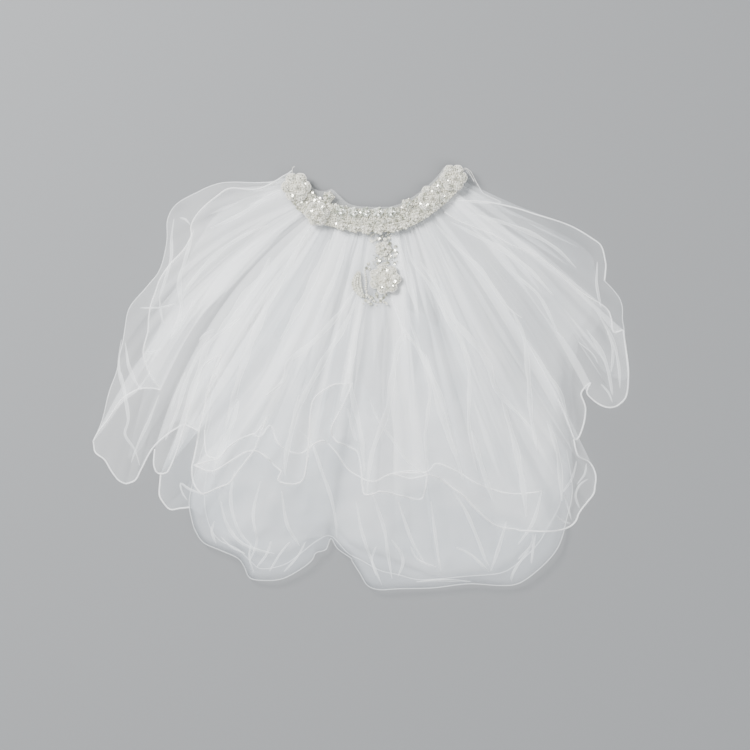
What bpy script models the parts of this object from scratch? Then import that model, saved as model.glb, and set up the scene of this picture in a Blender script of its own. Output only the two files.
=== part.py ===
"""Bridal veil laid flat: a beaded lace headband with two tiers of gathered tulle.

The veil lies on its back on a table, seen from above. +X is to the right, +Y is
towards the headband, +Z is up, and the table is z = 0. Every tier is a fan of
cloth: its rays leave the gathering line under the headband and run to the hem.
The tables are in millimetres and degrees, and the meshes are in metres.
"""

import math
from collections import namedtuple

import bmesh
import bpy
from mathutils import Matrix, Vector
from mathutils.bvhtree import BVHTree

MM = 0.001

# Cloth
CLOTH = 1.5  # wall of a tier: a few layers of tulle and the air between them
HEM_CORD = 2.4  # wall at the corded hem
SEAM_GAP = 0.3  # between pieces that are sewn together
LOOSE_GAP = 1.9  # between layers of cloth that lie loosely on each other
LAY_CUTS = 7  # how finely a face of a cloth feels what it is laid on
LAY_ROUNDS = 5  # how often its corners are lifted until it is clear

# The bundle of hidden layers under the two tiers
BUNDLE_AT_BAND = 2.4
BUNDLE_IN_WINGS = 10.0
BUNDLE_IN_MIDDLE = 32.0
BUNDLE_UNEVEN = 2.5  # how much higher or lower its ridges and hollows are
WING_RAYS = (7, 37)  # between these rays the bundle grows from its wings' height to its middle's
WING_SLOPE = 9  # over this many rays
BUNDLE_RISE = 150.0  # distance from the headband over which it reaches its full height
UNDER_BAND = 8.0  # how far it reaches under the headband, past the gathering line
EDGE_SHARE = 0.62  # height of the layered edge, of the height behind it
EDGE_LAYERS = 3
CREASE_DEPTH = 3.0  # how far the crease between two folded layers runs in
LAYER_STEP = 2.2  # how far each layer lies behind the one below it
EDGE_ROUNDING = 11.0

# Folds of the two tiers, counted over the whole fan
Folds = namedtuple("Folds", "count height")
TOP_FOLDS = Folds(count=41, height=5.0)
LOWER_FOLDS = Folds(count=20.5, height=2.6)
FOLD_UNEVEN = 0.25  # how much lower some folds are than the highest, on either side of the mean
FOLD_RISE = 110.0  # distance from the headband over which a fold reaches its full height
FLAT_SEAM = 21.0  # distance from the gathering line over which the cloth lies flat under the headband
COLUMNS_PER_RAY = 4

# Headband
BAND_WIDTH = 27.0
BAND_THICKNESS = 2.6
NET_THICKNESS = 1.1
NET_EDGE = 3.0  # how far the net shows past the headband
NET_POINT = 14.0  # how much further it shows at the left, where it folds up
NET_POINT_AT = 2.3  # where that is, in points of the gathering line
NET_POINT_WIDTH = 0.8

# Gathering line, under the middle of the headband, from the left end to the right
GATHER_LINE = [
    (-79, 232), (-67, 214), (-49, 199), (-26, 192), (-4, 188), (19, 187),
    (42, 188), (64, 196), (86, 211), (103, 226), (115, 241),
]

# One row for each ray of the fan, from the left edge of the veil to the right.
# leave: its direction at the headband. x, y: the outer end, at the silhouette.
# top, lower, bundle: where each layer ends, as a share of the ray.
RayRow = namedtuple("RayRow", "leave x y top lower bundle")
RAYS = [
    RayRow(178, -203, 220, 1.00, 0.60, 0.80),  # upper left edge
    RayRow(184, -229, 191, 1.00, 0.60, 0.82),
    RayRow(188, -233, 156, 1.00, 0.60, 0.84),
    RayRow(193, -256, 107, 1.00, 0.60, 0.86),
    RayRow(198, -282, 62, 1.00, 0.60, 0.88),
    RayRow(203, -290, 8, 1.00, 0.60, 0.89),
    RayRow(208, -319, -79, 1.00, 0.60, 0.90),  # outer left tongue
    RayRow(212, -282, -127, 1.00, 0.60, 0.90),
    RayRow(215, -247, -86, 1.00, 0.60, 0.90),
    RayRow(220, -235, -116, 1.00, 0.60, 0.88),  # narrow tongue
    RayRow(227, -205, -61, 1.00, 0.70, 0.88),  # gap down to the table
    RayRow(241, -203, -70, 1.00, 0.94, 0.86),
    RayRow(255, -239, -116, 0.84, 1.00, 0.78),  # loose lobe of the lower tier
    RayRow(254, -233, -155, 0.88, 1.00, 0.82),
    RayRow(253, -203, -156, 0.94, 1.00, 0.92),  # wide left tongue
    RayRow(251, -202, -173, 0.91, 0.97, 0.98),
    RayRow(252, -188, -198, 0.83, 0.93, 1.00),
    RayRow(253, -143, -218, 0.69, 0.92, 1.00),  # left puff of the bundle
    RayRow(255, -124, -242, 0.73, 0.87, 1.00),
    RayRow(257, -90, -242, 0.73, 0.87, 1.00),  # narrow tongue on the left puff
    RayRow(259, -64, -226, 0.61, 0.88, 1.00),
    RayRow(261, -41, -206, 0.68, 0.92, 1.00),
    RayRow(263, -34, -192, 0.70, 0.97, 1.00),  # notch between the two puffs
    RayRow(265, -14, -217, 0.66, 0.94, 1.00),
    RayRow(268, 8, -251, 0.77, 0.90, 1.00),  # middle tongue
    RayRow(271, 52, -253, 0.75, 0.90, 1.00),
    RayRow(275, 90, -251, 0.74, 0.95, 1.00),
    RayRow(279, 131, -247, 0.69, 0.96, 1.00),
    RayRow(283, 169, -250, 0.77, 0.95, 1.00),  # right puff of the bundle
    RayRow(288, 205, -240, 0.84, 0.93, 1.00),
    RayRow(291, 235, -215, 0.93, 0.90, 1.00),
    RayRow(294, 258, -174, 1.00, 0.86, 0.94),  # big right lobe
    RayRow(298, 283, -130, 1.00, 0.80, 0.91),
    RayRow(310, 266, -91, 1.00, 0.78, 0.90),
    RayRow(314, 270, -42, 1.00, 0.66, 0.88),  # small right tongue
    RayRow(317, 269, -12, 1.00, 0.60, 0.86),
    RayRow(318, 289, -34, 1.00, 0.60, 0.86),  # outer right tongue
    RayRow(321, 320, -23, 1.00, 0.60, 0.88),
    RayRow(324, 322, 38, 1.00, 0.60, 0.88),
    RayRow(326, 308, 101, 1.00, 0.60, 0.86),
    RayRow(328, 295, 127, 1.00, 0.60, 0.84),
    RayRow(330, 293, 155, 1.00, 0.60, 0.82),
    RayRow(332, 280, 167, 1.00, 0.60, 0.80),  # upper right edge
]
LOWER_FIRST, LOWER_LAST = 11, 32  # rays between which the lower tier is a cloth of its own

# Rows across the rays, as shares of the way from the headband's edge to the layer's own end
TOP_ROWS = [0.08, 0.19, 0.33, 0.48, 0.63, 0.79, 0.92, 1.0]
LOWER_ROWS = [0.12, 0.31, 0.50, 0.69, 0.84, 0.94, 1.0]
BUNDLE_ROWS = [0.10, 0.22, 0.36, 0.52, 0.68, 0.83]

# Motifs sewn on the headband
Motif = namedtuple("Motif", "name x y radius petals height")
BAND_MOTIFS = [
    Motif("rosette_left_end", -75, 227, 18.5, 6, 6.5),
    Motif("rosette_left", -50, 195, 15.5, 6, 6.0),
    Motif("bud_left", -36, 215, 7.5, 5, 5.0),
    Motif("shell_1", -22, 199, 7, 5, 3.6),
    Motif("shell_2", -7, 197, 7, 5, 3.6),
    Motif("shell_3", 8, 197, 7, 5, 3.6),
    Motif("shell_4", 23, 197, 7, 5, 3.6),
    Motif("shell_5", 38, 197, 7, 5, 3.6),
    Motif("flower_1", -21, 181, 6.5, 5, 3.2),
    Motif("flower_2", -6, 178, 6.5, 5, 3.2),
    Motif("flower_3", 9, 176, 6.5, 5, 3.2),
    Motif("flower_4", 24, 176, 6.5, 5, 3.2),
    Motif("flower_5", 39, 178, 6.5, 5, 3.2),
    Motif("flower_6", 54, 182, 6.5, 5, 3.2),
    Motif("flower_7", 68, 191, 6.5, 5, 3.2),
    Motif("bud_right", 58, 206, 8, 5, 5.5),
    Motif("rosette_right", 86, 214, 16, 6, 6.0),
    Motif("rosette_right_end", 113, 238, 17, 6, 6.5),
]
# Motifs of the drop, sewn on the tulle below the middle of the headband
DROP_MOTIFS = [
    Motif("drop_bud", 29, 153, 10.5, 5, 4.5),
    Motif("drop_rosette", 31, 116, 20, 7, 7.0),
]
LeafShape = namedtuple("LeafShape", "name x y length width height bow turn")
DROP_LEAF = LeafShape("drop_leaf", 2, 110, 32, 11, 4.0, 5.0, 98)
SMALL_MOTIF = 9.0  # radius up to which a petal has only a tip and a notch

WHITE_TULLE = (0.80, 0.83, 0.84)
BLUE_WHITE_TULLE = (0.76, 0.80, 0.82)
IVORY_LACE = (0.87, 0.85, 0.80)


def smooth(t):
    """An ease from 0 to 1."""
    t = min(1.0, max(0.0, t))
    return t * t * (3 - 2 * t)


def mix(a, b, t):
    return a + (b - a) * t


def through(points, t):
    """The point at t on the smooth curve through the points, one unit of t for each."""
    last = len(points) - 1
    i = min(int(t), last - 1)
    f = t - i
    p = [Vector(points[min(max(k, 0), last)]) for k in (i - 1, i, i + 1, i + 2)]
    tangent_in = (p[2] - p[0]) / 2
    tangent_out = (p[3] - p[1]) / 2
    h = (2 * f**3 - 3 * f**2 + 1, f**3 - 2 * f**2 + f, 3 * f**2 - 2 * f**3, f**3 - f**2)
    return p[1] * h[0] + tangent_in * h[1] + p[2] * h[2] + tangent_out * h[3]


class Ray:
    """One line of the fan, at t rays from the left edge of the veil."""

    def __init__(self, t):
        last = len(RAYS) - 1
        i = min(int(t), last - 1)
        f = t - i
        a, b = RAYS[i], RAYS[i + 1]
        leave = math.radians(mix(a.leave, b.leave, f))
        self.t = t
        self.start = through(GATHER_LINE, t / last * (len(GATHER_LINE) - 1))
        self.end = through([(row.x, row.y) for row in RAYS], t)
        self.length = (self.end - self.start).length
        out = Vector((math.cos(leave), math.sin(leave)))
        self.bend = self.start + out * self.length * 0.5
        self.top = mix(a.top, b.top, smooth(f))
        self.lower = mix(a.lower, b.lower, smooth(f))
        self.bundle = mix(a.bundle, b.bundle, smooth(f))
        left_wing, right_wing = WING_RAYS
        middle = smooth((t - left_wing) / WING_SLOPE) * smooth((right_wing - t) / WING_SLOPE)
        self.bulk = mix(BUNDLE_IN_WINGS, BUNDLE_IN_MIDDLE, middle) + BUNDLE_UNEVEN * math.sin(1.9 * t)
        self.has_lower = smooth(t - LOWER_FIRST + 1.2) * smooth(LOWER_LAST + 1.2 - t)

    def at(self, u):
        """The point at share u of the ray."""
        return self.start * (1 - u) ** 2 + self.bend * 2 * u * (1 - u) + self.end * u**2

    def rows(self, shares, end):
        """Places along the ray: the gathering line, the headband's edge, and on to the end."""
        edge = FLAT_SEAM / self.length
        return [0.0, edge] + [mix(edge, end, share) for share in shares]

    def bundle_top(self, u):
        """Height of the bundle away from its edge."""
        at_band = BUNDLE_AT_BAND + (1 - self.has_lower) * (CLOTH + SEAM_GAP)
        past_band = u * self.length - FLAT_SEAM
        return mix(at_band, self.bulk, smooth(past_band / BUNDLE_RISE))

    def bundle_edge(self):
        return self.bundle_top(self.bundle) * EDGE_SHARE

    def bundle_surface(self, u):
        """Top of the bundle at u, which comes down a little towards its edge."""
        return mix(self.bundle_top(u), self.bundle_edge(), smooth((u / self.bundle - 0.6) / 0.4))

    def fold(self, folds, u):
        """How far a pleat of the cloth stands up at u."""
        wave = 0.5 - 0.5 * math.cos(2 * math.pi * folds.count * self.t / (len(RAYS) - 1))
        uneven = 1 - FOLD_UNEVEN + FOLD_UNEVEN * math.sin(2.7 * self.t)
        past_band = u * self.length - FLAT_SEAM
        return folds.height * uneven * wave * smooth(past_band / FOLD_RISE)


def material(name, colour, roughness):
    made = bpy.data.materials.new(name)
    made.use_nodes = True
    shader = made.node_tree.nodes["Principled BSDF"]
    shader.inputs["Base Color"].default_value = (*colour, 1.0)
    shader.inputs["Roughness"].default_value = roughness
    shader.inputs["Metallic"].default_value = 0.0
    return made


def clear_scene():
    for obj in list(bpy.data.objects):
        bpy.data.objects.remove(obj)


def new_collection(name):
    made = bpy.data.collections.new(name)
    bpy.context.scene.collection.children.link(made)
    return made


def add_object(name, data, look, home):
    made = bpy.data.objects.new(name, data)
    data.materials.append(look)
    home.objects.link(made)
    return made


def mesh_of(name, points, faces):
    """A mesh from points in millimetres."""
    mesh = bpy.data.meshes.new(name)
    mesh.from_pydata([Vector(p) * MM for p in points], [], faces)
    mesh.update()
    return mesh


def columns(first, last, per_ray):
    return [Ray(first + k / per_ray) for k in range((last - first) * per_ray + 1)]


def surface_of(obj):
    """A tree of the object's finished surface, to lay other pieces on."""
    graph = bpy.context.evaluated_depsgraph_get()
    return BVHTree.FromObject(obj, graph)


def height_at(trees, x, y):
    """Height of the uppermost surface at x, y, in millimetres: 0 on the table."""
    above = Vector((x * MM, y * MM, 1.0))
    hits = [tree.ray_cast(above, Vector((0, 0, -1)))[0] for tree in trees]
    return max([hit.z / MM for hit in hits if hit] + [0.0])


def spots_in_triangle(cuts):
    """Evenly spread places in a triangle, as shares of its three corners."""
    places = []
    for a in range(cuts + 1):
        for b in range(cuts + 1 - a):
            places.append((a / cuts, b / cuts, (cuts - a - b) / cuts))
    return places


def lay_on(points, gaps, faces, trees):
    """Lowers a net of points onto what is below it, with each face clear by its points' gaps."""
    laid = [(x, y, height_at(trees, x, y) + gap) for (x, y), gap in zip(points, gaps)]
    shares = spots_in_triangle(LAY_CUTS)
    for _ in range(LAY_ROUNDS):
        lift = [0.0] * len(laid)
        for face in faces:
            lack = 0.0
            for share in shares:
                x, y, z = (sum(w * laid[k][axis] for w, k in zip(share, face)) for axis in range(3))
                gap = sum(w * gaps[k] for w, k in zip(share, face))
                lack = max(lack, height_at(trees, x, y) + gap - z)
            for k in face:
                lift[k] = max(lift[k], lack)
        laid = [(x, y, z + up) for (x, y, z), up in zip(laid, lift)]
    return laid


def tier(name, span, rows, share, folds, below, look, home):
    """A gathered cloth laid on what is below it: a grid of rays and rows with a corded hem."""
    rays = columns(*span, COLUMNS_PER_RAY)
    flat, gaps, standing = [], [], []
    for ray in rays:
        for u in ray.rows(rows, getattr(ray, share)):
            flat.append(tuple(ray.at(u)))
            past_band = u * ray.length - FLAT_SEAM
            gaps.append(mix(SEAM_GAP, LOOSE_GAP, smooth(past_band / FLAT_SEAM)))
            standing.append(ray.fold(folds, u))
    n = len(flat) // len(rays)
    faces = []
    for i in range(len(rays) - 1):
        for j in range(n - 1):
            a = i * n + j
            faces += [(a, a + 1, a + n + 1), (a, a + n + 1, a + n)]
    laid = lay_on(flat, gaps, faces, [surface_of(obj) for obj in below])
    points = [(x, y, z + up) for (x, y, z), up in zip(laid, standing)]
    made = add_object(name, mesh_of(name, points, faces), look, home)
    weights = made.vertex_groups.new(name="hem")
    weights.add([i * n + n - 1 for i in range(len(rays))], 1.0, "REPLACE")
    wall = made.modifiers.new("cloth wall", "SOLIDIFY")
    wall.thickness = HEM_CORD * MM
    wall.offset = 1.0
    wall.use_even_offset = False
    wall.vertex_group = "hem"
    wall.thickness_vertex_group = CLOTH / HEM_CORD
    bpy.context.view_layer.update()
    return made


def bundle_section(ray):
    """(share of the ray, height) round a section of the bundle, from the headband underneath."""
    step = 1.0 / ray.length
    edge = ray.bundle_edge()
    inner = -UNDER_BAND * step
    section = [(inner, 0.0), (ray.bundle * 0.5, 0.0), (ray.bundle - CREASE_DEPTH * step, 0.0)]
    for layer in range(EDGE_LAYERS):
        back = layer * LAYER_STEP
        section.append((ray.bundle - back * step, edge * (layer + 0.5) / EDGE_LAYERS))
        if layer < EDGE_LAYERS - 1:
            crease = ray.bundle - (back + CREASE_DEPTH) * step
            section.append((crease, edge * (layer + 1) / EDGE_LAYERS))
    rounded = ray.bundle - EDGE_ROUNDING * step
    section.append((rounded, ray.bundle_surface(rounded)))
    rows = ray.rows(BUNDLE_ROWS, ray.bundle)[1:]
    section += [(u, ray.bundle_surface(u)) for u in reversed(rows)]
    section.append((inner, ray.bundle_surface(0.0)))
    return section


def bundle(name, rays, look, home):
    """The hidden folded layers: one rounded solid, flat underneath, lofted from ray to ray."""
    sections = [bundle_section(ray) for ray in rays]
    n = len(sections[0])
    points = []
    for ray, section in zip(rays, sections):
        for u, z in section:
            x, y = ray.at(u)
            points.append((x, y, z))
    faces = [tuple(reversed(range(n)))]
    for i in range(len(rays) - 1):
        for j in range(n):
            a, b = i * n + j, i * n + (j + 1) % n
            faces.append((a, b, b + n, a + n))
    faces.append(tuple(range((len(rays) - 1) * n, len(rays) * n)))
    mesh = mesh_of(name, points, faces)
    outward(mesh)
    return add_object(name, mesh, look, home)


def outward(mesh):
    """Turns the faces of a closed mesh outwards."""
    work = bmesh.new()
    work.from_mesh(mesh)
    bmesh.ops.recalc_face_normals(work, faces=work.faces)
    work.to_mesh(mesh)
    work.free()


def beside_band(t, off):
    """The point at t on the gathering line, moved off millimetres towards the head."""
    here = through(GATHER_LINE, t)
    ahead = through(GATHER_LINE, min(t + 0.05, len(GATHER_LINE) - 1))
    behind = through(GATHER_LINE, max(t - 0.05, 0))
    along = (ahead - behind).normalized()
    return here + Vector((-along.y, along.x)) * off


def highest_under_band(cloth):
    """Height of the gathered cloth at its highest place under the headband."""
    last = len(GATHER_LINE) - 1
    steps = 200
    offsets = range(-math.ceil(BAND_WIDTH / 2) - 1, math.ceil(BAND_WIDTH / 2) + 2)
    spots = [beside_band(k * last / steps, off) for k in range(steps + 1) for off in offsets]
    return max(height_at([cloth], x, y) for x, y in spots)


def net_edge(t):
    """How far the net base reaches towards the head at t on the gathering line."""
    point = math.exp(-(((t - NET_POINT_AT) / NET_POINT_WIDTH) ** 2))
    return BAND_WIDTH / 2 + NET_EDGE + NET_POINT * point


def strip(name, inner, outer, low, thickness, look, home):
    """A flat U-shaped strip along the headband, between two offsets from the gathering line."""
    steps = 40
    last = len(GATHER_LINE) - 1
    ts = [k * last / steps for k in range(steps + 1)]
    outline = [beside_band(t, outer(t)) for t in ts]
    outline += [beside_band(t, inner(t)) for t in reversed(ts)]
    data = bpy.data.curves.new(name, "CURVE")
    data.dimensions = "2D"
    data.fill_mode = "BOTH"
    data.extrude = thickness / 2 * MM
    line = data.splines.new("POLY")
    line.points.add(len(outline) - 1)
    for point, (x, y) in zip(line.points, outline):
        point.co = (x * MM, y * MM, 0.0, 1.0)
    line.use_cyclic_u = True
    made = add_object(name, data, look, home)
    made.location.z = (low + thickness / 2) * MM
    return made


def motif(shape, look, home):
    """A lace rosette: scalloped petals round a domed centre, flat underneath, at the origin."""
    rings = [(0.16, 0.86), (0.32, 0.62), (0.55, 0.88), (0.80, 0.80), (1.0, 0.34)]
    around = shape.petals * 4
    if shape.radius <= SMALL_MOTIF:
        rings = [(0.30, 0.66), (0.62, 0.86), (1.0, 0.34)]
        around = shape.petals * 2
    points = [(0.0, 0.0, shape.height)]
    for share, tall in rings:
        for k in range(around):
            turn = 2 * math.pi * k / around
            petal = abs(math.cos(shape.petals * turn / 2))
            reach = shape.radius * share * mix(1.0, 0.80 + 0.20 * petal, smooth(share / 0.6))
            rise = shape.height * tall * mix(1.0, 0.62 + 0.38 * petal, smooth(share / 0.5))
            points.append((reach * math.cos(turn), reach * math.sin(turn), rise))
    points += [(x * 0.94, y * 0.94, 0.0) for x, y, _ in points[-around:]]
    faces = [(0, 1 + k, 1 + (k + 1) % around) for k in range(around)]
    for ring in range(len(rings)):
        low = 1 + ring * around
        for k in range(around):
            after = (k + 1) % around
            faces.append((low + k, low + around + k, low + around + after, low + after))
    base = 1 + len(rings) * around
    faces.append(tuple(reversed(range(base, base + around))))
    mesh = mesh_of(shape.name, points, faces)
    outward(mesh)
    return add_object(shape.name, mesh, look, home)


def leaf(shape, look, home):
    """A curved lace leaf with a raised rib, flat underneath, along +X from the origin."""
    stations = 9
    # Across the leaf: share of its half width, share of its height
    section = [(-1, 0.0), (-1, 0.45), (-0.5, 0.85), (0, 1.0), (0.5, 0.85), (1, 0.45), (1, 0.0)]
    points = []
    for k in range(stations):
        along = k / (stations - 1)
        half = shape.width / 2 * max(0.12, math.sin(math.pi * mix(0.06, 0.94, along)) ** 0.7)
        x = shape.length * (along - 0.5)
        middle = shape.bow * math.sin(math.pi * along)
        rise = shape.height * (0.55 + 0.45 * math.sin(math.pi * along))
        points += [(x, middle + half * side, rise * tall) for side, tall in section]
    n = len(section)
    faces = [tuple(range(n)), tuple(reversed(range((stations - 1) * n, stations * n)))]
    for k in range(stations - 1):
        for j in range(n):
            a, b = k * n + j, k * n + (j + 1) % n
            faces.append((a, b, b + n, a + n))
    mesh = mesh_of(shape.name, points, faces)
    outward(mesh)
    return add_object(shape.name, mesh, look, home)


def seat(obj, cloth, shape, reach, turn=0.0):
    """Lays a motif on the cloth: tilted as the cloth is there, and just clear of its folds."""
    spots = [(0.0, 0.0)]
    rings, around = 4, 24
    for ring in range(1, rings + 1):
        for k in range(around):
            angle = 2 * math.pi * k / around
            out = reach * ring / rings
            spots.append((out * math.cos(angle), out * math.sin(angle)))
    heights = [height_at([cloth], shape.x + dx, shape.y + dy) for dx, dy in spots]
    total = sum(dx * dx for dx, _ in spots)
    slope_x = sum(h * dx for h, (dx, _) in zip(heights, spots)) / total
    slope_y = sum(h * dy for h, (_, dy) in zip(heights, spots)) / total
    clear = max(h - slope_x * dx - slope_y * dy for h, (dx, dy) in zip(heights, spots))
    normal = Vector((-slope_x, -slope_y, 1.0)).normalized()
    tilt = Vector((0, 0, 1)).rotation_difference(normal).to_matrix().to_4x4()
    place = Matrix.Translation(Vector((shape.x, shape.y, clear + 2 * SEAM_GAP)) * MM)
    obj.matrix_world = place @ tilt @ Matrix.Rotation(math.radians(turn), 4, "Z")


def rest_on_origin(parts, home):
    """Puts the middle of the veil's footprint at the origin, with the underside at z = 0."""
    bpy.context.view_layer.update()
    graph = bpy.context.evaluated_depsgraph_get()
    corners = []
    for obj in parts:
        evaluated = obj.evaluated_get(graph)
        corners += [evaluated.matrix_world @ point.co for point in evaluated.to_mesh().vertices]
        evaluated.to_mesh_clear()
    low = [min(c[k] for c in corners) for k in range(3)]
    high = [max(c[k] for c in corners) for k in range(3)]
    centre = bpy.data.objects.new("veil", None)
    home.objects.link(centre)
    for obj in parts:
        obj.parent = centre
    centre.location = (-(low[0] + high[0]) / 2, -(low[1] + high[1]) / 2, -low[2])


def main():
    clear_scene()
    home = new_collection("bridal_veil")
    white = material("white tulle", WHITE_TULLE, 0.75)
    blue_white = material("blue white tulle", BLUE_WHITE_TULLE, 0.75)
    lace = material("ivory lace", IVORY_LACE, 0.5)
    last = len(RAYS) - 1

    layers = bundle("folded_layers", columns(0, last, 2), blue_white, home)
    span = (LOWER_FIRST, LOWER_LAST)
    lower = tier("lower_tier", span, LOWER_ROWS, "lower", LOWER_FOLDS, [layers], blue_white, home)
    span = (0, last)
    top = tier("top_tier", span, TOP_ROWS, "top", TOP_FOLDS, [layers, lower], white, home)

    cloth = surface_of(top)
    half = BAND_WIDTH / 2
    band_low = highest_under_band(cloth) + SEAM_GAP
    net_low = band_low - SEAM_GAP - NET_THICKNESS
    band = strip("headband", lambda t: half, lambda t: -half, band_low, BAND_THICKNESS, lace, home)
    net = strip("net_base", net_edge, lambda t: 1.0, net_low, NET_THICKNESS, white, home)
    parts = [layers, lower, top, band, net]

    band_top = band_low + BAND_THICKNESS + SEAM_GAP
    for shape in BAND_MOTIFS:
        made = motif(shape, lace, home)
        made.location = Vector((shape.x, shape.y, band_top)) * MM
        parts.append(made)
    for shape in DROP_MOTIFS:
        made = motif(shape, lace, home)
        seat(made, cloth, shape, shape.radius)
        parts.append(made)
    made = leaf(DROP_LEAF, lace, home)
    seat(made, cloth, DROP_LEAF, DROP_LEAF.length / 2, DROP_LEAF.turn)
    parts.append(made)

    rest_on_origin(parts, home)


main()
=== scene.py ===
import math

import bmesh
import bpy
import numpy as np
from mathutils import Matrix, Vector
from mathutils.bvhtree import BVHTree


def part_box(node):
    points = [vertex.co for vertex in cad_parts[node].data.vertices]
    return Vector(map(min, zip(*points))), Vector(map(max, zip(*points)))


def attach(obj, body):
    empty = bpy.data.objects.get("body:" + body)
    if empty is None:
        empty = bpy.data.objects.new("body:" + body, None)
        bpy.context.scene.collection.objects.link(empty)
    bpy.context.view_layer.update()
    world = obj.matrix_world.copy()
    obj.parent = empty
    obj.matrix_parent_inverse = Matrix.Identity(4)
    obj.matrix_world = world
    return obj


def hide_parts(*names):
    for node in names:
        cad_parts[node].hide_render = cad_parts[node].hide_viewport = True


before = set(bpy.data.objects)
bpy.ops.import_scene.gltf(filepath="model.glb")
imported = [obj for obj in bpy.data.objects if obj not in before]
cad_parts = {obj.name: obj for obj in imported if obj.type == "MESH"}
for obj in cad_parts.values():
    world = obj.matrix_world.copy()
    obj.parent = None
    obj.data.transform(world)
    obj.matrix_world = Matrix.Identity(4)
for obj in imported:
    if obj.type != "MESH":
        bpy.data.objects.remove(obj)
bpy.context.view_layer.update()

# Upper tier: one length of fine white tulle, gathered on one long edge to the headband and fanned out
# in overlapping tongues. Its outer edge has a narrow corded hem, and its pleats are only laid, not sewn.
MM = 0.001
FAN_SHIFT = (-2.49, 0.40)  # from the drafting of the next two tables to the frame, in millimetres
GATHER_LINE = [
    (-79, 232), (-67, 214), (-49, 199), (-26, 192), (-4, 188), (19, 187), (42, 188), (64, 196),
    (86, 211), (103, 226), (115, 241),
]
# Lines of the fan: the way each leaves the headband, in degrees, and where it ends, in millimetres
FAN = [
    (178, -203, 220), (184, -229, 191), (188, -233, 156), (193, -256, 107), (198, -282, 62),
    (203, -290, 8), (208, -319, -79), (212, -282, -127), (215, -247, -86), (220, -235, -116),
    (227, -205, -61), (241, -203, -70), (255, -239, -116), (254, -233, -155), (253, -203, -156),
    (251, -202, -173), (252, -188, -198), (253, -143, -218), (255, -124, -242), (257, -90, -242),
    (259, -64, -226), (261, -41, -206), (263, -34, -192), (265, -14, -217), (268, 8, -251),
    (271, 52, -253), (275, 90, -251), (279, 131, -247), (283, 169, -250), (288, 205, -240),
    (291, 235, -215), (294, 258, -174), (298, 283, -130), (310, 266, -91), (314, 270, -42),
    (317, 269, -12), (318, 289, -34), (321, 320, -23), (324, 322, 38), (326, 308, 101), (328, 295, 127),
    (330, 293, 155), (332, 280, 167),
]
BEND = 0.5  # how much of a line keeps the way in which it leaves the headband
LINE_SMOOTHING = 9


def curve_through(points, t):
    """Points at t on the smooth curve through the points, one unit of t for each."""
    p = np.array(points, float)
    last = len(p) - 1
    i = np.clip(t.astype(int), 0, last - 1)
    f = (t - i)[:, None]
    a, b, c, d = (p[np.clip(i + k, 0, last)] for k in (-1, 0, 1, 2))
    return (
        b * (2 * f**3 - 3 * f**2 + 1)
        + (c - a) / 2 * (f**3 - 2 * f**2 + f)
        + c * (3 * f**2 - 2 * f**3)
        + (d - b) / 2 * (f**3 - f**2)
    )


def gather_point(t):
    """Where line t of the fan, counted from the left, starts at the headband, in metres."""
    place = curve_through(GATHER_LINE, t / (len(FAN) - 1) * (len(GATHER_LINE) - 1))
    return (place + FAN_SHIFT) * MM


def leaving(t):
    """The direction in which line t of the fan leaves the headband."""
    angle = np.radians(np.interp(t, np.arange(len(FAN)), [row[0] for row in FAN]))
    return np.stack([np.cos(angle), np.sin(angle)], 1)


def fan_lines(t, ends, shares):
    """Lines that leave the headband at t and reach the ends: an array of lines by shares by 2."""
    start = gather_point(t)
    length = np.linalg.norm(ends - start, axis=1)[:, None]
    bend = start + leaving(t) * length * BEND
    u = np.atleast_2d(shares)[..., None]
    return start[:, None] * (1 - u) ** 2 + bend[:, None] * 2 * u * (1 - u) + ends[:, None] * u**2


def softened(values, width):
    """Running mean over width samples to each side, with the ends kept."""
    padded = np.concatenate([[values[0]] * width, values, [values[-1]] * width])
    return np.convolve(padded, np.ones(2 * width + 1) / (2 * width + 1), "same")[width:-width]


def line_of(places):
    """The line of the fan on which each place along an edge lies."""
    # Candidates: a tenth of a line apart, a fiftieth of a line's length apart, a tenth past its end
    t = np.arange(0, len(FAN) - 1 + 0.01, 0.1)
    ends = (curve_through([row[1:] for row in FAN], t) + FAN_SHIFT) * MM
    net = fan_lines(t, ends, np.arange(0.02, 1.12, 0.02)).reshape(-1, 2)
    owner = np.repeat(t, net.shape[0] // len(t))
    found = [owner[np.argmin(((net - place) ** 2).sum(1))] for place in places]
    return softened(np.array(found), LINE_SMOOTHING)


CELL = 0.003  # pitch of a height map, and below it the places that the map covers, in metres
MAP_X = np.arange(-0.345, 0.3451, CELL)
MAP_Y = np.arange(-0.28, 0.2801, CELL)
SPREAD_CELLS = 12  # how far the map runs on past the solids
SPREAD_FALL = 0.8  # what is left of the height from one such cell to the next


def tree_of(name):
    """The faces of a solid, to be met by lines from above."""
    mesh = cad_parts[name].data
    corners = [v.co.copy() for v in mesh.vertices]
    return BVHTree.FromPolygons(corners, [list(f.vertices) for f in mesh.polygons])


def met_from_above(tree, x, y):
    """The point and normal of the face that a line straight down at x, y meets first."""
    return tree.ray_cast(Vector((x, y, 1)), Vector((0, 0, -1)))[:2]


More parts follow.
